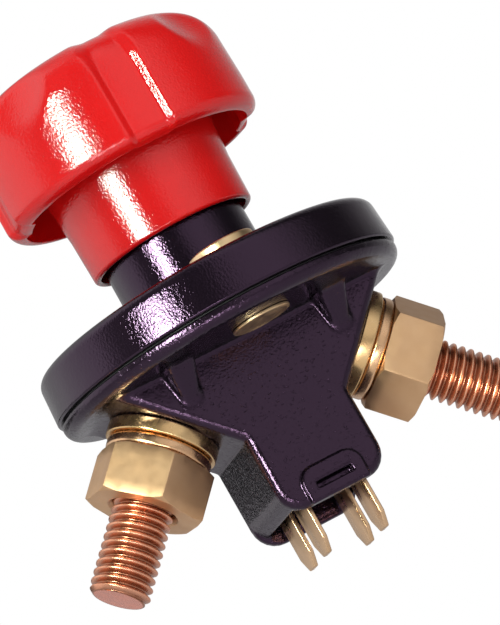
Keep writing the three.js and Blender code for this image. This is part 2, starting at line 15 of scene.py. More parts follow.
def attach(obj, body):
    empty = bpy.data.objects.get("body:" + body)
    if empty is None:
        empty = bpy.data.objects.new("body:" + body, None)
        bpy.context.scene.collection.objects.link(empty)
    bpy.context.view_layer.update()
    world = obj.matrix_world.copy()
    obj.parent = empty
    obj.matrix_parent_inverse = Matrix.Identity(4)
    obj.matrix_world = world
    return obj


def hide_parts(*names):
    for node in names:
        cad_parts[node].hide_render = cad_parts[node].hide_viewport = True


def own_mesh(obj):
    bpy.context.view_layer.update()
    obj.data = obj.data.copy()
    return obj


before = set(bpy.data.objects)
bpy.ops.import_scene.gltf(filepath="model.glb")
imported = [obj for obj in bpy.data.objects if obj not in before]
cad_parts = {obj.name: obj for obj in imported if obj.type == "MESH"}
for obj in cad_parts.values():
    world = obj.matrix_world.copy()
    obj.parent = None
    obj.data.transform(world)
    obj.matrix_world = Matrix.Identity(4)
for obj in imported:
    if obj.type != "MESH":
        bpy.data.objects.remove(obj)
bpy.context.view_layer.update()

MM = 0.001
GAP = 0.3
SHARP = 40
WELD = 2e-7

# ---------------------------------------------------------------- dimensions

COVER = {"edge": 31.0, "top": 30.5, "shoulder": 1.9, "flat": 24.0, "fall": 0.4}
COVER.update({"wall": 3.3, "plate": 3.2, "low": -8.3, "boss": 6.5, "boss_top": -2.6, "hole": 4.4})
STEM = {"r": 12.3, "base": 12.4, "top": 14.6, "hollow": 10.3, "ceiling": 9.5, "bore": 5.3}
GASKET = {"outer": 29.9, "inner": 24.6, "low": -8.6, "high": -8.3}
FLANGE = {"r": 30.6, "top": -8.6, "low": -11.1, "round": 1.9}
AXES_Z = -0.58
STUD_ANGLE = 135
FACE_L, WALL_L = 25.0, 21.5
STUD = {"r": 4.95, "end": 53.0, "chamfer": 0.8}
STUD_HEAD = {"low": 18.2, "high": 21.2, "half_x": 6.5, "half_y": 7.5}
THREAD = {"pitch": 1.5, "depth": 0.86, "low": 24.0}
WASHER = {"outer": 9.05, "inner": 5.4, "low": 25.05, "high": 27.45}
LOCK = {"outer": 8.55, "inner": 5.3, "low": 27.5, "high": 29.7, "split": 10}
NUT = {"flats": 17.0, "low": 29.75, "high": 38.15, "bore": 5.2, "chamfer": 8.9, "slope": 0.55}
NUT_TURN = {"left": 113.1, "right": 95.6}
CASE = {"depth": 10.9, "neck": 9.63, "low": -40.35, "rear_low": -41.3, "corner": 4.2}
CHAMBER = {"depth": 8.4, "neck": 7.8, "floor": -24.85}
SHROUD = {"depth": 9.1, "ledge": -33.7, "chamber_top": -26.85}
LATCH = {"half": 5.45, "height": 5.6, "corner": 2.5, "proud": 0.8}
LATCH_SLOT = {"half_x": 3.3, "half_z": 0.55, "z": -37.9, "floor": 0.6}
RIB = {"x": 14, "reach": 5.5, "depth": 6.8, "top": 2.6, "tip": 1.4}
INSERT = {"y": 18.15, "shank": 4.1, "top": 5.6, "head": 1.95, "bore": 2.1}
INSERT_FOOT = {"r": 5.0, "low": -11.6, "dome": 0.4}
BLADE = {"x": 5.2, "y": 4.75, "half": 3.15, "thick": 0.8, "taper": 2.4, "tip": 1.5}
BLADE_TIP = {"left": -47.6, "right": -48.2}
PAD = {"inner": 2.8, "half": 2.35, "left": -32.05, "right": -28.15}
ROD_HOLE = 2.8
BLOCK = {"x": 7.5, "y": 8.8, "high": -34.0, "low": -36.5}
KNOB = {"r": 22.9, "shoulder": 22.7, "low": 21.55, "rim": 2.3}
CROWN = {"arc": 7.5, "edge": 42.1, "top": 42.55}
SKIRT = {"low": 20.4, "high": 19.4, "ceiling": 32.5}
SLEEVE = {"low": 9.3, "bore": 13.3, "low_r": 14.4, "high_r": 16.1, "web": 15.4}
GROOVE = {"azimuth": -3.5, "half": 9.0, "edge": 1.9, "soft": 5.0, "depth": 1.1}
GROOVE_FADE = {"from": 17.0, "to": 12.0, "over_shoulder": 0.55}
SCOOP = {"azimuth": 41.5, "cutter": 17.0, "root": 22.8, "z": 33.0, "lean": 0.5, "soft": 0.8}
RECESS = {"r": 8.0, "low": 29.0, "cap": 9.0, "cap_low": 40.3}
SPINDLE_HOLE = {"wide": 5.3, "narrow": 2.6, "step": 27.3}

SIDES = {"left": -1, "right": 1}
ENDS = {"front": -1, "rear": 1}

# ---------------------------------------------------------------- mesh helpers


def add_mesh(name, points, faces, sharp=SHARP, weld=True):
    """A closed mesh from points in millimetres, with its faces turned outwards."""
    mesh = bpy.data.meshes.new(name)
    mesh.from_pydata((np.asarray(points, float) * MM).tolist(), [], faces)
    work = bmesh.new()
    work.from_mesh(mesh)
    if weld:
        bmesh.ops.remove_doubles(work, verts=work.verts, dist=WELD)
        bmesh.ops.dissolve_degenerate(work, edges=work.edges, dist=WELD / 2)
    bmesh.ops.recalc_face_normals(work, faces=work.faces)
    work.to_mesh(mesh)
    work.free()
    return add_object(name, mesh, sharp)


def add_object(name, mesh, sharp=SHARP):
    """A mesh as an object in the scene, smooth except at edges sharper than that many degrees."""
    mesh.shade_smooth()
    mesh.set_sharp_from_angle(angle=math.radians(sharp))
    piece = bpy.data.objects.new(name, mesh)
    bpy.context.scene.collection.objects.link(piece)
    return piece


def rounded(corners, closed=False, steps=6):
    """Points along an outline of (a, b, radius) corners, each corner rounded by its radius."""
    points = []
    last = len(corners) - 1
    for i, (a, b, radius) in enumerate(corners):
        here = np.array((a, b), float)
        if radius <= 0 or (not closed and i in (0, last)):
            points.append(here)
            continue
        before = np.array(corners[i - 1][:2], float) - here
        after = np.array(corners[(i + 1) % len(corners)][:2], float) - here
        before /= np.linalg.norm(before)
        after /= np.linalg.norm(after)
        half = math.acos(np.clip(before @ after, -1, 1)) / 2
        centre = here + (before + after) / np.linalg.norm(before + after) * radius / math.sin(half)
        start = here + before * radius / math.tan(half) - centre
        end = here + after * radius / math.tan(half) - centre
        sweep = math.pi - 2 * half
        for k in range(steps + 1):
            t = k / steps
            turn = math.sin((1 - t) * sweep) * start + math.sin(t * sweep) * end
            points.append(centre + turn / math.sin(sweep))
    return np.array(points)


def mirrored(half):
    """A half outline to the right of the axis, completed by its mirror image."""
    return np.concatenate([half, (half * (-1, 1))[::-1]])


def dense(points, step):
    """The same outline with no stretch longer than a step."""
    out = [points[0]]
    for a, b in zip(points[:-1], points[1:]):
        parts = max(1, math.ceil(np.linalg.norm(b - a) / step))
        out.extend(a + (b - a) * k / parts for k in range(1, parts + 1))
    return np.array(out)


def grid_faces(rows, columns, wrap_rows):
    """Quads over a grid whose columns close round the axis, and whose rows may close too."""
    i = np.arange(rows if wrap_rows else rows - 1)[:, None]
    j = np.arange(columns)[None, :]
    down, across = (i + 1) % rows, (j + 1) % columns
    quads = [i * columns + j, i * columns + across, down * columns + across, down * columns + j]
    return np.stack([q.ravel() for q in quads], 1)


def lathe(name, profile, segments=96, ring=False, warp=None, sharp=SHARP):
    """A turned body. The profile starts and ends on the axis, or closes on itself for a ring."""
    profile = np.asarray(profile)
    angle = np.linspace(0, 2 * np.pi, segments, endpoint=False)[None, :]
    radius = profile[:, :1] + 0 * angle
    z = profile[:, 1:] + 0 * angle
    if warp:
        radius, z = warp(radius, z, angle + 0 * z)
    points = np.stack([radius * np.cos(angle), radius * np.sin(angle), z], -1)
    faces = grid_faces(len(profile), segments, ring).tolist()
    return add_mesh(name, points.reshape(-1, 3), faces, sharp)


def prism(name, outline, low, high, axis):
    """An outline made solid between two values along an axis, X or Z."""
    count = len(outline)
    if axis == "X":
        points = [(level, a, b) for level in (low, high) for a, b in outline]
    else:
        points = [(a, b, level) for level in (low, high) for a, b in outline]
    ends = [tuple(range(count)), tuple(range(count, 2 * count))]
    sides = [(i, (i + 1) % count, (i + 1) % count + count, i + count) for i in range(count)]
    return add_mesh(name, points, ends + sides, weld=False)


def box(name, x, y, z):
    """A block between a low and a high value along each axis."""
    return prism(name, [(x[0], y[0]), (x[1], y[0]), (x[1], y[1]), (x[0], y[1])], *z, axis="Z")


def settle(piece, sharp=SHARP):
    """Applies the modifiers on a piece to its mesh."""
    bpy.context.view_layer.update()
    graph = bpy.context.evaluated_depsgraph_get()
    mesh = bpy.data.meshes.new_from_object(piece.evaluated_get(graph))
    piece.modifiers.clear()
    piece.data = mesh
    mesh.shade_smooth()
    mesh.set_sharp_from_angle(angle=math.radians(sharp))
    return piece


def combine(piece, others, operation, sharp=SHARP):
    """Joins other solids to a piece, or cuts them from it, and removes them."""
    for other in others:
        modifier = piece.modifiers.new("solid", "BOOLEAN")
        modifier.object = other
        modifier.operation = operation
        modifier.solver = "MANIFOLD"
    settle(piece, sharp)
    for other in others:
        bpy.data.objects.remove(other)
    return piece


def bevel(piece, width, segments=3, angle=30, sharp=SHARP):
    """Rounds the edges that are sharper than an angle in degrees by a width in millimetres."""
    modifier = piece.modifiers.new("edges", "BEVEL")
    modifier.width = width * MM
    modifier.segments = segments
    modifier.limit_method = "ANGLE"
    modifier.angle_limit = math.radians(angle)
    return settle(piece, sharp)


# ---------------------------------------------------------------- distance fields


def soft_min(a, b, k):
    """The lower of two distances, blended where they are within k of each other."""
    blend = np.maximum(k - abs(a - b), 0) / k
    return np.minimum(a, b) - blend * blend * k / 4


def soft_max(a, b, k):
    """The higher of two distances, blended where they are within k of each other."""
    return -soft_min(-a, -b, k)


def polygon_field(points, a, b):
    """Signed distance to a polygon, negative inside."""
    points = np.asarray(points, float)
    nearest = np.full(np.broadcast(a, b).shape, np.inf)
    crossings = np.zeros(nearest.shape, bool)
    for p, q in zip(points, np.roll(points, -1, 0)):
        edge = q - p
        length = edge @ edge
        if length < 1e-12:
            continue
        along = np.clip(((a - p[0]) * edge[0] + (b - p[1]) * edge[1]) / length, 0, 1)
        away = np.hypot(a - p[0] - along * edge[0], b - p[1] - along * edge[1])
        nearest = np.minimum(nearest, away)
        if p[1] != q[1]:
            reach = p[0] + (b - p[1]) * edge[0] / edge[1]
            crossings ^= ((p[1] > b) != (q[1] > b)) & (a < reach)
    return np.where(crossings, -nearest, nearest)


def slab_field(flat, across, radius):
    """A flat outline's distance given thickness, with the edges between them rounded."""
    a, b = flat + radius, across + radius
    return np.minimum(np.maximum(a, b), 0) + np.hypot(np.maximum(a, 0), np.maximum(b, 0)) - radius


def surface_nets(field, low, step):
    """Points and quads on the zero level of a sampled distance field."""
    inside = field < 0
    shape = np.array(field.shape) - 1
    corner_count = np.zeros(shape, np.int8)
    for corner in itertools.product((0, 1), repeat=3):
        view = tuple(slice(c, c + n) for c, n in zip(corner, shape))
        corner_count += inside[view]
    active = (corner_count > 0) & (corner_count < 8)
    cells = np.argwhere(active)
    index = np.full(active.shape, -1)
    index[active] = np.arange(len(cells))
    total, number = np.zeros((len(cells), 3)), np.zeros(len(cells))
    for axis in range(3):
        others = [k for k in range(3) if k != axis]
        for offset in itertools.product((0, 1), repeat=2):
            start = cells.copy()
            start[:, others] += offset
            end = start.copy()
            end[:, axis] += 1
            a, b = field[tuple(start.T)], field[tuple(end.T)]
            crossed = (a < 0) != (b < 0)
            point = start[crossed].astype(float)
            point[:, axis] += a[crossed] / (a[crossed] - b[crossed])
            total[crossed] += point
            number[crossed] += 1
    faces = []
    for axis in range(3):
        u, v = (axis + 1) % 3, (axis + 2) % 3
        before = [slice(None)] * 3
        after = [slice(None)] * 3
        before[axis], after[axis] = slice(None, -1), slice(1, None)
        edges = np.argwhere(inside[tuple(before)] != inside[tuple(after)])
        quad = []
        for du, dv in ((0, 0), (1, 0), (1, 1), (0, 1)):
            cell = edges.copy()
            cell[:, u] -= du
            cell[:, v] -= dv
            quad.append(index[tuple(cell.T)])
        quad = np.stack(quad, 1)
        outward = inside[tuple(edges.T)]
        faces.append(np.where(outward[:, None], quad, quad[:, ::-1]))
    return low + total / number[:, None] * step, np.concatenate(faces)


def slant_z(along, x):
    """Height, at some x, of the slanted face square to the right stud that far along it."""
    return x - along * math.sqrt(2) + AXES_Z


def slant_x(along, z):
    """The x at which that slanted face reaches some height."""
    return z + along * math.sqrt(2) - AXES_Z


def case_outline(low):
    """Half outline of the V-shaped body and its neck, completed by its mirror image."""
    neck, top = CASE["neck"], FLANGE["low"]
    half = [
        (0, low, 0),
        (neck, low, CASE["corner"]),
        (neck, slant_z(FACE_L, neck), 0.8),
        (slant_x(FACE_L, top), top, 0),
        (slant_x(FACE_L, top), top + 1, 0),
        (0, top + 1, 0),
    ]
    return mirrored(rounded(half))


def flange_field(r, z):
    """The lower flange, rounded at its lower edge."""
    curve = FLANGE["round"]
    out, under = r - FLANGE["r"] + curve, FLANGE["low"] + curve - z
    rim = np.where((out > 0) & (under > 0), np.hypot(out, under), np.maximum(out, under)) - curve
    return soft_max(rim, z - FLANGE["top"], 0.3)


def body_field(x, y, z):
    """The V-shaped body with its neck; its rear wall reaches a little lower."""
    front = slab_field(polygon_field(case_outline(CASE["low"]), x, z), abs(y) - CASE["depth"], 1.5)
    middle = (CASE["depth"] + SHROUD["depth"]) / 2
    wall = abs(y - middle) - (CASE["depth"] - SHROUD["depth"]) / 2
    rear = slab_field(polygon_field(case_outline(CASE["rear_low"]), x, z), wall, 0.6)
    return np.minimum(front, rear)


def gusset_field(width, depth, z):
    """The four tapering gussets between the body's faces and the flange."""
    root = 0.5
    top, drop = FLANGE["low"] + root, RIB["depth"] + root
    out, lean = RIB["reach"] + root, RIB["top"] - RIB["tip"]
    side = (abs(width - RIB["x"]) - RIB["top"]) * drop - (z - top) * lean
    slope = (depth - CASE["depth"] - RIB["reach"]) * drop - (z - top) * out
    wedge = soft_max(side / math.hypot(drop, lean), slope / math.hypot(drop, out), 1.0)
    return np.maximum(wedge, z - top)


def lip_field(x, y, z):
    """The arched lip round the latch slot."""
    low, half = CASE["low"], LATCH["half"]
    high = low + LATCH["height"]
    arch = rounded([(0, low, 0), (half, low, 0.3), (half, high, LATCH["corner"]), (0, high, 0)])
    proud = abs(y + CASE["depth"]) - LATCH["proud"]
    return slab_field(polygon_field(mirrored(arch), x, z), proud, 0.35)


def case_field(x, y, z):
    """Distance to the moulded case: flange, body, gussets and latch lip, less its hollows."""
    width, depth = abs(x), abs(y)
    r = np.hypot(x, y)
    whole = soft_min(flange_field(r, z), body_field(x, y, z), 1.0)
    whole = soft_min(whole, gusset_field(width, depth, z), 0.9)
    whole = soft_min(whole, lip_field(x, y, z), 0.25)

    open_top = FLANGE["top"] + 1
    chamber_outline = [
        (CHAMBER["neck"], CHAMBER["floor"]),
        (CHAMBER["neck"], slant_z(WALL_L, CHAMBER["neck"])),
        (slant_x(WALL_L, open_top), open_top),
    ]
    chamber_outline += [(-a, b) for a, b in chamber_outline[::-1]]
    chamber = np.maximum(polygon_field(chamber_outline, x, z), depth - CHAMBER["depth"])
    low, high = SHROUD["ledge"] - 1, SHROUD["chamber_top"]
    lower = np.maximum(width - CHAMBER["neck"], depth - CHAMBER["depth"])
    lower = np.maximum(lower, abs(z - (low + high) / 2) - (high - low) / 2)
    corner = 1.2
    a, b = width - CHAMBER["neck"] + corner, depth - SHROUD["depth"] + corner
    mouth = np.minimum(np.maximum(a, b), 0) + np.hypot(np.maximum(a, 0), np.maximum(b, 0)) - corner
    mouth = np.maximum(mouth, z - SHROUD["ledge"])
    rod = np.maximum(r - ROD_HOLE, abs(z - CHAMBER["floor"] + 1) - 3)
    slot = np.maximum(width - LATCH_SLOT["half_x"], abs(z - LATCH_SLOT["z"]) - LATCH_SLOT["half_z"])
    slot = np.maximum(slot, y + SHROUD["depth"] + LATCH_SLOT["floor"])
    across = (width + z - AXES_Z) / math.sqrt(2)
    along = (width - z + AXES_Z) / math.sqrt(2)
    stud_hole = np.maximum(np.hypot(across, y) - STUD["r"] - GAP, WALL_L - 1 - along)
    insert_hole = np.hypot(x, depth - INSERT["y"]) - INSERT["shank"] - GAP
    whole = soft_max(whole, -mouth, 0.5)
    whole = soft_max(whole, -slot, 0.3)
    for cut in (chamber, lower, rod, stud_hole, insert_hole):
        whole = np.maximum(whole, -cut)
    return whole


def make_case():
    """The moulded case, as the zero level of its distance field."""
    step = 0.25
    margin = 3 * step
    side = FLANGE["r"] + margin
    low = np.array([-side, -side, CASE["rear_low"] - margin])
    high = np.array([side, side, FLANGE["top"] + margin])
    count = np.ceil((high - low) / step).astype(int) + 1
    axes = [low[k] + step * np.arange(count[k]) for k in range(3)]
    x, y, z = axes[0][:, None, None], axes[1][None, :, None], axes[2][None, None, :]
    field = case_field(x, y, z)
    points, faces = surface_nets(field, low, step)
    return add_mesh("case_shell", points, faces.tolist(), sharp=55)


# ---------------------------------------------------------------- knob


def angle_from(feature, angle):
    """Degrees from the nearest of four features, one of them at an azimuth from the front, -Y."""
    return (np.degrees(angle) + 90 - feature + 45) % 90 - 45


def ease(share):
    """A share from 0 to 1, with a soft start and end."""
    share = np.clip(share, 0, 1)
    return share * share * (3 - 2 * share)


def groove_share(angle, edge):
    """Share of the grooves' depth: 1 on their floor, 0 outside an edge that wide in degrees."""
    inside = (GROOVE["half"] - abs(angle_from(GROOVE["azimuth"], angle))) / edge
    return ease((inside + 1) / 2)


def scoop_radius(angle, z):
    """Radius that the scoops' leaning round cutter leaves; very large between the scoops."""
    centre = SCOOP["root"] - SCOOP["lean"] * (z - SCOOP["z"]) + SCOOP["cutter"]
    turn = np.radians(angle_from(SCOOP["azimuth"], angle))
    aside = centre * np.sin(turn)
    reach = np.sqrt(np.maximum(SCOOP["cutter"] ** 2 - aside**2, 0))
    return np.where(abs(aside) < SCOOP["cutter"], centre * np.cos(turn) - reach, 1e3)


def knob_profile(shoulder, centre_z):
    """The knob's section as three outlines: outside, hollow beneath, and inside of the sleeve."""
    turn = np.radians(np.linspace(90, 0, 24))
    crown = rounded(
        [
            (RECESS["cap"] - 1, RECESS["cap_low"], 0),
            (RECESS["cap"], RECESS["cap_low"], 0.1),
            (RECESS["cap"], CROWN["top"], 0.35),
            (12, CROWN["edge"] + 0.2, 4),
            (shoulder, CROWN["edge"], 0),
        ]
    )
    arc = CROWN["arc"] * np.stack([np.cos(turn), np.sin(turn)], 1)
    shoulder_arc = arc + (shoulder, centre_z)
    wall = rounded(
        [
            (KNOB["shoulder"], centre_z - 0.2, 0),
            (KNOB["r"], KNOB["low"] + 6, 10),
            (KNOB["r"], KNOB["low"], KNOB["rim"]),
            (SKIRT["low"], KNOB["low"], 0.18),
            (SKIRT["low"], KNOB["low"] + 1, 0),
        ],
        steps=10,
    )
    skirt = rounded(
        [
            (SKIRT["low"], KNOB["low"] + 1, 0),
            (SKIRT["high"], SKIRT["ceiling"] - 0.2, 1.5),
            (SLEEVE["high_r"], SKIRT["ceiling"], 0.9),
            (SLEEVE["low_r"] + 0.2, SLEEVE["low"] + 8, 0),
        ]
    )
    inner = rounded(
        [
            (SLEEVE["low_r"] + 0.2, SLEEVE["low"] + 8, 0),
            (SLEEVE["low_r"], SLEEVE["low"], 0.6),
            (SLEEVE["bore"], SLEEVE["low"], 0.35),
            (SLEEVE["bore"], SLEEVE["web"], 0.4),
            (SPINDLE_HOLE["wide"], SLEEVE["web"], 0.2),
            (SPINDLE_HOLE["wide"], SPINDLE_HOLE["step"], 0),
            (SPINDLE_HOLE["narrow"], SPINDLE_HOLE["step"], 0),
            (SPINDLE_HOLE["narrow"], RECESS["low"], 0.2),
            (RECESS["r"], RECESS["low"], 0.3),
            (RECESS["r"], RECESS["cap_low"], 0),
        ]
    )
    outer = dense(np.concatenate([crown, shoulder_arc, wall]), 0.45)
    return outer, dense(skirt, 0.8)[1:], dense(inner, 1.2)[1:]


def make_knob():
    """Hollow knob with four grooves up its wall, four scoops in its shoulder, and a sleeve."""
    shoulder = KNOB["shoulder"] - CROWN["arc"]
    centre_z = CROWN["edge"] - CROWN["arc"]
    outer, skirt, inner = knob_profile(shoulder, centre_z)
    profile = np.concatenate([outer, skirt, inner])
    step = np.arange(len(profile))
    r, z = profile[:, 0], profile[:, 1]
    outside = step < len(outer)
    beneath = ~outside & (step < len(outer) + len(skirt))
    rise = np.clip((z - centre_z) / CROWN["arc"], 0, 1)
    fade = ease((r - GROOVE_FADE["to"]) / (GROOVE_FADE["from"] - GROOVE_FADE["to"]))
    fade = fade * (1 - GROOVE_FADE["over_shoulder"] * rise**2)
    hollow = np.clip((r - SLEEVE["high_r"] - 0.3) / 2, 0, 1)
    share = np.where(outside, fade, np.where(beneath, hollow, 0))
    inward = GROOVE["depth"] * share * np.where(outside, np.sqrt(1 - rise**2), 1)
    down = GROOVE["depth"] * share * np.where(outside, rise, 0)
    edge = GROOVE["edge"] + (GROOVE["soft"] - GROOVE["edge"]) * np.where(beneath, 0.4, rise)

    def form(radius, z, angle):
        groove = groove_share(angle, edge[:, None])
        radius, z = radius - inward[:, None] * groove, z - down[:, None] * groove
        scooped = soft_min(radius, scoop_radius(angle, z), SCOOP["soft"])
        return np.where(outside[:, None] & (radius > GROOVE_FADE["to"]), scooped, radius), z

    segments = 600
    return lathe("knob_body", profile, segments, ring=True, warp=form, sharp=50)


def make_cap():
    """The disc that closes the recess over the knob's screw."""
    low, r, high = RECESS["cap_low"] + GAP, RECESS["cap"] - GAP, CROWN["top"]
    corners = [(0, low, 0), (r, low, 0.2), (r, high - 0.05, 0.45), (0, high, 0)]
    return lathe("cap_disc", dense(rounded(corners), 0.6), 96)


# ---------------------------------------------------------------- cover, gasket and inserts


def make_cover():
    """Round cover with its stem, hollow below, with a boss and a hole for each insert."""
    edge, low = COVER["edge"], COVER["low"]
    corners = [
        (STEM["bore"], STEM["top"], 0.3),
        (STEM["r"], STEM["top"], 0.6),
        (STEM["base"], 0, 0.5),
        (COVER["flat"], 0, 8),
        (COVER["top"], -COVER["fall"], COVER["shoulder"]),
        (edge, low, 0.45),
        (edge - COVER["wall"], low, 0.3),
        (COVER["top"] - COVER["wall"], -COVER["plate"], 1.0),
        (STEM["hollow"], -COVER["plate"], 0.6),
        (STEM["hollow"], STEM["ceiling"], 0.5),
        (STEM["bore"], STEM["ceiling"], 0.2),
    ]
    body = lathe("cover_shell", dense(rounded(corners, closed=True, steps=10), 1.5), 240, ring=True)
    bosses, holes = [], []
    for end, sign in ENDS.items():
        r, high = COVER["boss"], COVER["boss_top"]
        boss = lathe(f"boss_{end}", [(0, low), (r, low), (r, high), (0, high)], 48)
        r = COVER["hole"]
        hole = lathe(f"hole_{end}", [(0, low - 1), (r, low - 1), (r, 1), (0, 1)], 48)
        for piece, group in ((boss, bosses), (hole, holes)):
            piece.location.y = sign * INSERT["y"] * MM
            group.append(piece)
    combine(body, bosses, "UNION")
    return combine(body, holes, "DIFFERENCE")


def make_gasket():
    """Flat ring between the cover and the case."""
    outer, inner, low, high = (GASKET[k] for k in ("outer", "inner", "low", "high"))
    corners = [(inner, low, 0.1), (outer, low, 0.2), (outer, high, 0.2), (inner, high, 0.1)]
    return lathe("gasket_ring", rounded(corners, closed=True, steps=4), 240, ring=True)


def make_insert(end, sign):
    """Brass bush clinched over the flange: a foot with a raised rim, and a flat ring head."""
    shank, top, head = (INSERT[k] for k in ("shank", "top", "head"))
    foot, low, dome = (INSERT_FOOT[k] for k in ("r", "low", "dome"))
    seat = FLANGE["low"] - 0.05
    corners = [
        (0, low - dome * 0.6, 0),
        (foot * 0.45, low - dome * 0.5, 3),
        (foot * 0.76, low + 0.15, 1.2),
        (foot * 0.88, low - dome * 0.5, 0.3),
        (foot, low, 0.2),
        (foot, seat, 0.1),
        (shank, seat, 0),
        (shank, 0.05, 0),
        (top, 0.05, 0.2),
        (top, head, 0.4),
        (INSERT["bore"] + 0.5, head, 0.1),
        (INSERT["bore"], head - 0.5, 0),
        (INSERT["bore"], head - 9.5, 0),
        (0, head - 10, 0),
    ]
    piece = lathe(f"insert_{end}", dense(rounded(corners), 0.8), 96)
    piece.location.y = sign * INSERT["y"] * MM
    return piece


# ---------------------------------------------------------------- studs and their fastenings


def thread_depth(turns):
    """How far below the crest the thread lies, from 0 to 1, by turns along the helix."""
    away = abs(turns - np.round(turns)) * 2
    return np.clip((away - 0.14) / 0.70, 0, 1) ** 1.15


def make_stud(side):
    """Stud with a wound thread, a chamfered end, and the square head that bears the contact."""
    r, end, chamfer = STUD["r"], STUD["end"], STUD["chamfer"]
    low, pitch = THREAD["low"], THREAD["pitch"]
    rows_per_turn, columns = ((18, 96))
    levels = np.arange(low, end - 0.02, pitch / rows_per_turn)
    root = STUD_HEAD["high"] - 0.6
    shank = [(0, root), (r - 0.15, root), (r - 0.15, low - 0.2)]
    tip = [(r - chamfer - 0.02, end - 0.02), (r - chamfer - 0.35, end), (0, end)]
    profile = np.array(shank + [(r, level) for level in levels] + tip)
    threaded = np.zeros(len(profile), bool)
    threaded[len(shank) : len(shank) + len(levels)] = True

    def wind(radius, z, angle):
        depth = THREAD["depth"] * thread_depth(z / pitch - angle / (2 * np.pi))
        fade = np.clip((z - low) / pitch, 0, 1)
        cut = np.minimum(r - depth * fade, r - chamfer + end - z)
        return np.where(threaded[:, None], cut, radius), z

    piece = lathe(f"{side}_threaded_stud", profile, columns, warp=wind, sharp=60)
    half_x, half_y = STUD_HEAD["half_x"], STUD_HEAD["half_y"]
    levels = (STUD_HEAD["low"], STUD_HEAD["high"])
    head = box(f"{side}_head", (-half_x, half_x), (-half_y, half_y), levels)
    bevel(head, 0.3, 2)
    return combine(piece, [head], "UNION", sharp=60)


def make_washer(side):
    """Thick plain washer with rounded edges."""
    outer, inner, low, high = (WASHER[k] for k in ("outer", "inner", "low", "high"))
    corners = [(inner, low, 0.15), (outer, low, 0.35), (outer, high, 0.3), (inner, high, 0.35)]
    return lathe(f"{side}_plain_washer", rounded(corners, closed=True), 144, ring=True)


def make_lock_washer(side):
    """Split spring washer: a rounded square section swept almost all the way round."""
    outer, inner, low, high = (LOCK[k] for k in ("outer", "inner", "low", "high"))
    corners = [(inner, low, 0.4), (outer, low, 0.7), (outer, high, 0.7), (inner, high, 0.4)]
    section = rounded(corners, closed=True)
    half = math.radians(LOCK["split"] / 2)
    sweep = np.linspace(np.pi / 2 + half, 2.5 * np.pi - half, 160)
    points = [(r * np.cos(a), r * np.sin(a), z) for a in sweep for r, z in section]
    n = len(section)
    faces = [
        (k * n + i, k * n + (i + 1) % n, (k + 1) * n + (i + 1) % n, (k + 1) * n + i)
        for k in range(len(sweep) - 1)
        for i in range(n)
    ]
    ends = [tuple(range(n)), tuple(range((len(sweep) - 1) * n, len(sweep) * n))]
    return add_mesh(f"{side}_spring_washer", points, faces + ends, weld=False)


def make_nut(side):
    """Hexagon nut turned down at both ends, with a countersunk bore round the stud."""
    low, high, bore, chamfer, slope = (NUT[k] for k in ("low", "high", "bore", "chamfer", "slope"))
    sink, mouth = 0.7, bore + 0.6
    per_flat = 24
    angle = np.linspace(0, 2 * np.pi, 6 * per_flat, endpoint=False)
    flat = np.ones_like(angle)
    hexagon = NUT["flats"] / 2 / np.cos((angle + np.pi / 6) % (np.pi / 3) - np.pi / 6)
    face = np.minimum(chamfer, hexagon)
    drop = np.maximum(hexagon - chamfer, 0) * slope
    stations = [(bore * flat, (low + sink) * flat), (mouth * flat, low * flat)]
    stations += [(mouth + (face - mouth) * t, low * flat) for t in (0.35, 0.7, 1)]
    stations += [(face + (hexagon - face) * t, low + drop * t) for t in (0.34, 0.67, 1)]
    stations += [(hexagon, low + drop + (high - low - 2 * drop) * t) for t in (0.25, 0.5, 0.75, 1)]
    stations += [(hexagon + (face - hexagon) * t, high - drop * (1 - t)) for t in (0.33, 0.66, 1)]
    stations += [(face + (mouth - face) * t, high * flat) for t in (0.3, 0.65, 1)]
    stations.append((bore * flat, (high - sink) * flat))
    points = [np.stack([r * np.cos(angle), r * np.sin(angle), z], -1) for r, z in stations]
    faces = grid_faces(len(stations), len(angle), True).tolist()
    piece = add_mesh(f"{side}_hex_nut", np.concatenate(points), faces, sharp=12)
    bevel(piece, 0.14, 2, angle=20, sharp=35)
    piece.data.transform(Matrix.Rotation(math.radians(NUT_TURN[side]), 4, "Z"))
    return piece


# ---------------------------------------------------------------- auxiliary terminals


def make_blade(side, end):
    """Blade terminal with a tapered tip, bent over into a pad at its top."""
    tip, half, thick, top = BLADE_TIP[side], BLADE["half"], BLADE["thick"] / 2, PAD[side]
    taper, narrow = tip + BLADE["taper"], BLADE["tip"]
    right = [(0, tip, 0), (narrow, tip, 0.5), (half, taper, 0.8), (half, top, 0), (0, top, 0)]
    outline = mirrored(rounded(right)[1:-1])
    plate = prism(f"{side}_{end}_tab", outline, BLADE["x"] - thick, BLADE["x"] + thick, axis="X")
    levels = (top - BLADE["thick"], top)
    pad = box("pad", (PAD["inner"], BLADE["x"]), (-PAD["half"], PAD["half"]), levels)
    combine(plate, [pad], "UNION")
    bevel(plate, 0.16, 3, angle=50)
    turn = Matrix.Rotation(math.pi if side == "left" else 0, 4, "Z")
    plate.data.transform(Matrix.Translation((0, ENDS[end] * BLADE["y"] * MM, 0)) @ turn)
    return plate


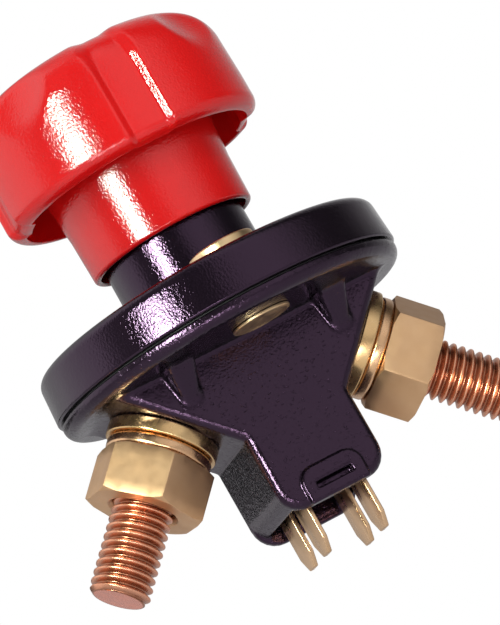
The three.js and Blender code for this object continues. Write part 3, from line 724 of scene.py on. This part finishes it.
def make_terminal_block():
    """Block with a slot for each blade and a rib between the left and right pairs."""
    x, y, low = BLOCK["x"], BLOCK["y"], BLOCK["low"]
    piece = box("blade_block", (-x, x), (-y, y), (low, BLOCK["high"]))
    rib = box("rib", (-1.0, 1.0), (-y + 0.6, y - 0.6), (low - 0.9, low + 0.5))
    combine(piece, [rib], "UNION")
    bevel(piece, 0.3, 2)
    slots = []
    for x, y in itertools.product(SIDES.values(), ENDS.values()):
        half_x, half_y = BLADE["thick"] / 2 + GAP, BLADE["half"] + GAP
        centre = (x * BLADE["x"], y * BLADE["y"])
        span = [(c - h, c + h) for c, h in zip(centre, (half_x, half_y))]
        slots.append(box("slot", *span, (low - 2, BLOCK["high"] + 1)))
    return combine(piece, slots, "DIFFERENCE")


# ---------------------------------------------------------------- return spring


def make_spring():
    """The return spring, which shortens as the plunger comes down, as a piece of its own made from
    a copy of the CAD spring's mesh.
    """
    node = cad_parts["return_spring"]
    piece = add_object("coil_spring", node.data.copy())
    piece.matrix_world = node.matrix_world
    return piece


# ---------------------------------------------------------------- finishes


NOISE_RANGE = (0.3, 0.7)


class Finish:
    """A Principled material, textured by noise in the piece's own coordinates."""

    def __init__(self, name, color, roughness, metallic=0.0, **sockets):
        self.material = bpy.data.materials.new(name)
        self.material.use_nodes = True
        self.nodes = self.material.node_tree.nodes
        self.links = self.material.node_tree.links
        self.shader = self.nodes["Principled BSDF"]
        self.color = (*color, 1)
        self.shader.inputs["Base Color"].default_value = self.color
        self.shader.inputs["Roughness"].default_value = roughness
        self.shader.inputs["Metallic"].default_value = metallic
        for socket, value in sockets.items():
            self.shader.inputs[socket.replace("_", " ")].default_value = value
        self.place = self.nodes.new("ShaderNodeTexCoord").outputs["Object"]
        self.normal = None

    def noise(self, size, detail=2.0, stretch=(1, 1, 1)):
        """Noise whose features are about that many millimetres across, longer where stretched."""
        mapping = self.nodes.new("ShaderNodeMapping")
        mapping.inputs["Scale"].default_value = [1 / (size * MM * s) for s in stretch]
        self.links.new(self.place, mapping.inputs["Vector"])
        node = self.nodes.new("ShaderNodeTexNoise")
        node.inputs["Scale"].default_value = 1
        node.inputs["Detail"].default_value = detail
        self.links.new(mapping.outputs[0], node.inputs["Vector"])
        return node.outputs["Fac"]

    def radius(self):
        """Distance from the piece's own axis, in metres."""
        flat = self.nodes.new("ShaderNodeVectorMath")
        flat.operation = "MULTIPLY"
        flat.inputs[1].default_value = (1, 1, 0)
        self.links.new(self.place, flat.inputs[0])
        length = self.nodes.new("ShaderNodeVectorMath")
        length.operation = "LENGTH"
        self.links.new(flat.outputs[0], length.inputs[0])
        return length.outputs["Value"]

    def bump(self, height, depth):
        """Relief of that many millimetres from a texture."""
        node = self.nodes.new("ShaderNodeBump")
        node.inputs["Strength"].default_value = 1
        node.inputs["Distance"].default_value = depth * MM
        self.links.new(height, node.inputs["Height"])
        if self.normal:
            self.links.new(self.normal, node.inputs["Normal"])
        self.normal = node.outputs["Normal"]
        self.links.new(self.normal, self.shader.inputs["Normal"])
        return self

    def span(self, value, low, high, source=NOISE_RANGE):
        """A value's range mapped to run from low to high, and held there beyond."""
        node = self.nodes.new("ShaderNodeMapRange")
        sockets = ("From Min", "From Max", "To Min", "To Max")
        for socket, number in zip(sockets, (*source, low, high)):
            node.inputs[socket].default_value = number
        self.links.new(value, node.inputs["Value"])
        return node.outputs["Result"]

    def vary_roughness(self, value, low, high):
        """Roughness that wanders between two values."""
        self.links.new(self.span(value, low, high), self.shader.inputs["Roughness"])
        return self

    def vary_color(self, value, other, source=NOISE_RANGE):
        """Colour that wanders from what the finish had so far towards another."""
        mix = self.nodes.new("ShaderNodeMix")
        mix.data_type = "RGBA"
        mix.inputs[6].default_value = self.color
        for link in list(self.shader.inputs["Base Color"].links):
            self.links.new(link.from_socket, mix.inputs[6])
        mix.inputs[7].default_value = (*other, 1)
        self.links.new(self.span(value, 0, 1, source), mix.inputs["Factor"])
        self.links.new(mix.outputs[2], self.shader.inputs["Base Color"])
        return self


METAL_GRAIN = 0.004


def plastic(name, color, other, roughness, peel, grain, size=0.5, tint=(1, 1, 1), pits=0):
    """Moulded plastic: a slow orange peel, a fine grain of some size, and pits where asked for."""
    finish = Finish(name, color, roughness, IOR=1.5, Specular_Tint=(*tint, 1))
    finish.vary_color(finish.noise(9, 3), other)
    finish.vary_roughness(finish.noise(5, 4), roughness * 0.85, roughness * 1.2)
    finish.bump(finish.noise(2.2, 1), peel)
    finish.bump(finish.noise(size, 2), grain)
    if pits:
        finish.bump(finish.span(finish.noise(0.5, 1, (1.5, 1, 1)), 0, -1, (0.62, 0.72)), pits)
    return finish.material


def metal(name, color, other, roughness, stretch=(1, 1, 1), uneven=0.25):
    """Worked metal whose colour and polish vary a little, along a stretch where one is given."""
    finish = Finish(name, color, roughness, metallic=1.0)
    finish.vary_color(finish.noise(4, 4), other)
    polish = roughness * (1 - uneven), roughness * (1 + uneven)
    finish.vary_roughness(finish.noise(1.5, 5, stretch), *polish)
    finish.bump(finish.noise(0.35, 3, stretch), METAL_GRAIN)
    return finish.material


def threaded_copper():
    """Copper darkened by painted shade from the thread crests down into the roots, with a duller
    sawn end.
    """
    finish = Finish("stud_metal", (0.80, 0.37, 0.23), 0.28, metallic=1.0)
    # Painted shade: the colour darkens with depth below the thread crests and is darkest in the
    # thread roots.
    finish.vary_color(finish.radius(), (0.38, 0.16, 0.095), (4.9 * MM, 4.1 * MM))
    finish.vary_color(finish.radius(), (0.94, 0.385, 0.28), (4.08 * MM, 3.95 * MM))
    finish.vary_roughness(finish.noise(1.5, 5), 0.21, 0.36)
    finish.bump(finish.noise(0.35, 3), METAL_GRAIN)
    return finish.material


VIOLET = (0.98, 0.58, 1.0)
JET = (0.0040, 0.0026, 0.0042), (0.0050, 0.0033, 0.0052)
RED = (0.76, 0.0095, 0.0090), (0.70, 0.0085, 0.0085)
MATT = (0.006, 0.005, 0.007), (0.008, 0.006, 0.009)

red = plastic("red_moulding", *RED, 0.055, 0.020, 0.058, 0.38)
black = plastic("black_gloss", *JET, 0.055, 0.018, 0.058, 0.38, VIOLET)
pebbled = plastic("black_pebbled", *JET, 0.14, 0.040, 0.055, 0.40, VIOLET, pits=0.035)
block_black = plastic("black_matt", *MATT, 0.45, 0.01, 0.02, tint=VIOLET)
natural = plastic("natural_moulding", (0.66, 0.60, 0.48), (0.60, 0.54, 0.42), 0.5, 0.01, 0.008)
rubber = plastic("rubber_moulding", (0.012, 0.010, 0.013), (0.016, 0.013, 0.016), 0.65, 0.02, 0.02)
nut_brass = metal("nut_metal", (0.66, 0.41, 0.235), (0.62, 0.37, 0.20), 0.44, uneven=0.08)
washer_brass = metal("washer_metal", (0.74, 0.50, 0.25), (0.62, 0.39, 0.18), 0.26)
brass = metal("insert_metal", (0.80, 0.57, 0.34), (0.70, 0.48, 0.26), 0.38)
blade_brass = metal("blade_metal", (0.73, 0.48, 0.29), (0.65, 0.42, 0.24), 0.32, (1, 1, 6))
bronze = metal("lock_washer_metal", (0.74, 0.46, 0.27), (0.62, 0.36, 0.19), 0.26)
copper = threaded_copper()
steel = metal("plated_steel", (0.62, 0.62, 0.63), (0.54, 0.54, 0.56), 0.30)

# ---------------------------------------------------------------- assembly


def fit(piece, node, material, body="housing"):
    """Puts a finely built piece in the place of a CAD node."""
    piece.data.materials.clear()
    piece.data.materials.append(material)
    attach(piece, body)
    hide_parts(node)


fit(make_case(), "case", pebbled)
fit(make_cover(), "cover", black)
fit(make_gasket(), "gasket", rubber)
fit(make_terminal_block(), "terminal_block", block_black)
fit(make_knob(), "knob", red, "knob_assembly")
fit(make_cap(), "knob_cap", red, "knob_assembly")
for end, sign in ENDS.items():
    fit(make_insert(end, sign), f"{end}_mounting_insert", brass)
STACK = (
    (make_stud, "stud", copper, "copper"),
    (make_washer, "flat_washer", washer_brass, "washer_brass"),
    (make_lock_washer, "lock_washer", bronze, "bronze"),
    (make_nut, "nut", nut_brass, "nut_brass"),
)
for side, sign in SIDES.items():
    tilt = Matrix.Rotation(math.radians(sign * STUD_ANGLE), 4, "Y")
    axis = Matrix.Translation((0, 0, AXES_Z * MM)) @ tilt
    for make, node, material, slot in STACK:
        piece = make(side)
        piece.matrix_world = axis
        fit(piece, f"{side}_{node}", material)
    for end in ENDS:
        fit(make_blade(side, end), f"{side}_{end}_blade", blade_brass)

spring = make_spring()
fit(spring, "return_spring", steel)
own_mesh(spring)

# Hidden nodes that keep their CAD meshes, with the finishes of their kind.
KEPT = {
    "spindle": brass,
    "cross_pin": steel,
    "spindle_o_ring": rubber,
    "knob_screw": steel,
    "plunger": natural,
    "moving_contact": copper,
    "bridge_carrier": natural,
    "closing_bridge": blade_brass,
    "opening_bridge": blade_brass,
}
for node, material in KEPT.items():
    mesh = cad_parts[node].data
    mesh.materials.clear()
    mesh.materials.append(material)

# ---------------------------------------------------------------- studio


def add_light(name, azimuth, elevation, distance, size, power, glossy, color=(1, 1, 1)):
    """A soft box aimed at the object, seen either in reflections only or in matt light only."""
    light = bpy.data.lights.new(name, "AREA")
    light.shape = "RECTANGLE"
    light.size, light.size_y = size
    light.energy = power
    light.color = color
    holder = bpy.data.objects.new(name, light)
    bpy.context.scene.collection.objects.link(holder)
    a, e = math.radians(azimuth), math.radians(elevation)
    out = Vector((math.sin(a) * math.cos(e), -math.cos(a) * math.cos(e), math.sin(e)))
    holder.location = out * distance
    holder.rotation_euler = out.to_track_quat("Z", "Y").to_euler()
    holder.visible_glossy = glossy
    holder.visible_diffuse = not glossy


def surround_light(world, levels):
    """White to the camera; to everything else, a grey that changes with azimuth as levels say."""
    world.use_nodes = True
    nodes, links = world.node_tree.nodes, world.node_tree.links
    seen = nodes["Background"]
    seen.inputs["Color"].default_value = (1, 1, 1, 1)
    place = nodes.new("ShaderNodeTexCoord")
    split = nodes.new("ShaderNodeSeparateXYZ")
    links.new(place.outputs["Generated"], split.inputs[0])
    front = nodes.new("ShaderNodeMath")
    front.operation = "MULTIPLY"
    front.inputs[1].default_value = -1
    links.new(split.outputs["Y"], front.inputs[0])
    azimuth = nodes.new("ShaderNodeMath")
    azimuth.operation = "ARCTAN2"
    links.new(split.outputs["X"], azimuth.inputs[0])
    links.new(front.outputs[0], azimuth.inputs[1])
    share = nodes.new("ShaderNodeMapRange")
    share.inputs["From Min"].default_value = -math.pi
    share.inputs["From Max"].default_value = math.pi
    links.new(azimuth.outputs[0], share.inputs["Value"])
    ramp = nodes.new("ShaderNodeValToRGB")
    stops = ramp.color_ramp.elements
    for degrees, level in levels:
        stop = stops.new((degrees + 180) / 360)
        stop.color = (level, level, level, 1)
    stops.remove(stops[0])
    stops.remove(stops[len(stops) - 1])
    links.new(share.outputs["Result"], ramp.inputs[0])
    surround = nodes.new("ShaderNodeBackground")
    links.new(ramp.outputs["Color"], surround.inputs["Color"])
    path = nodes.new("ShaderNodeLightPath")
    mix = nodes.new("ShaderNodeMixShader")
    links.new(path.outputs["Is Camera Ray"], mix.inputs[0])
    links.new(surround.outputs[0], mix.inputs[1])
    links.new(seen.outputs[0], mix.inputs[2])
    links.new(mix.outputs[0], nodes["World Output"].inputs["Surface"])


# Brightness of the studio by azimuth in degrees, 0 at the front and 90 at the right.
STUDIO = (
    (-172, 0.48),
    (-158, 0.56),
    (-146, 0.88),
    (-124, 1.10),
    (-97, 1.15),
    (-84, 0.30),
    (-60, 0.28),
    (-30, 0.28),
    (-20, 0.08),
    (-10, 0.24),
    (4, 0.85),
    (30, 0.95),
    (50, 0.52),
    (66, 0.10),
    (90, 0.06),
    (112, 0.27),
    (132, 0.45),
    (152, 0.70),
    (170, 0.35),
)

world = bpy.data.worlds.new("studio")
bpy.context.scene.world = world
surround_light(world, STUDIO)
KEY_COLOR = (0.86, 1.0, 0.87)
add_light("key", -49, 8, 0.7, (0.175, 0.29), 10.5, glossy=True, color=KEY_COLOR)
add_light("low", -30, -31, 0.8, (0.50, 0.28), 6.6, glossy=True)
add_light("fill", -25, 18, 1.0, (0.9, 0.9), 7.3, glossy=False)


def add_backdrop(name, corners, finish, other):
    """A flat sheet that isn't part of the object."""
    mesh = bpy.data.meshes.new(name)
    mesh.from_pydata(corners, [], [(0, 1, 2, 3)])
    sheet = bpy.data.objects.new(name, mesh)
    bpy.context.scene.collection.objects.link(sheet)
    finish.vary_color(finish.noise(60, 2), other)
    mesh.materials.append(finish.material)
    return sheet


# Corners of a sheet, as places between its low and high edges: 0 at the low one, 1 at the high.
CORNERS = ((0, 0), (1, 0), (1, 1), (0, 1))
FLOOR_EDGES, FLOOR_Z = (-3.0, 3.0), -0.35
pale = Finish("pale_floor", (0.86, 0.86, 0.88), 0.7)
floor_corners = [(FLOOR_EDGES[a], FLOOR_EDGES[b], FLOOR_Z) for a, b in CORNERS]
add_backdrop("floor", floor_corners, pale, (0.83, 0.83, 0.85))
# A dark card behind the left side, seen only where the side of the terminal housing mirrors it.
CARD_X, CARD_Y, CARD_Z = (-0.22, -0.045), 0.20, (-0.016, 0.018)
dark = Finish("card_black", (0.012, 0.010, 0.013), 0.9)
card_corners = [(CARD_X[a], CARD_Y, CARD_Z[b]) for a, b in CORNERS]
card = add_backdrop("dark_card", card_corners, dark, (0.010, 0.009, 0.011))
card.visible_camera = False

# The camera fitted to the photograph: its axes, its place in metres and its lens.
camera_data = bpy.data.cameras.new("camera")
camera = bpy.data.objects.new("camera", camera_data)
bpy.context.scene.collection.objects.link(camera)
right = Vector((0.8449, -0.2126, -0.4909))
up = Vector((0.4230, -0.2963, 0.8563))
back = Vector((-0.3275, -0.9311, -0.1605))
turn = Matrix((right, up, back)).transposed().to_4x4()
camera.matrix_world = Matrix.Translation((-0.2097, -0.6111, -0.1119)) @ turn
camera_data.lens = 234.4
camera_data.sensor_width = 36
camera_data.clip_start, camera_data.clip_end = 0.05, 20
bpy.context.scene.camera = camera
bpy.context.scene.view_settings.view_transform = "Standard"
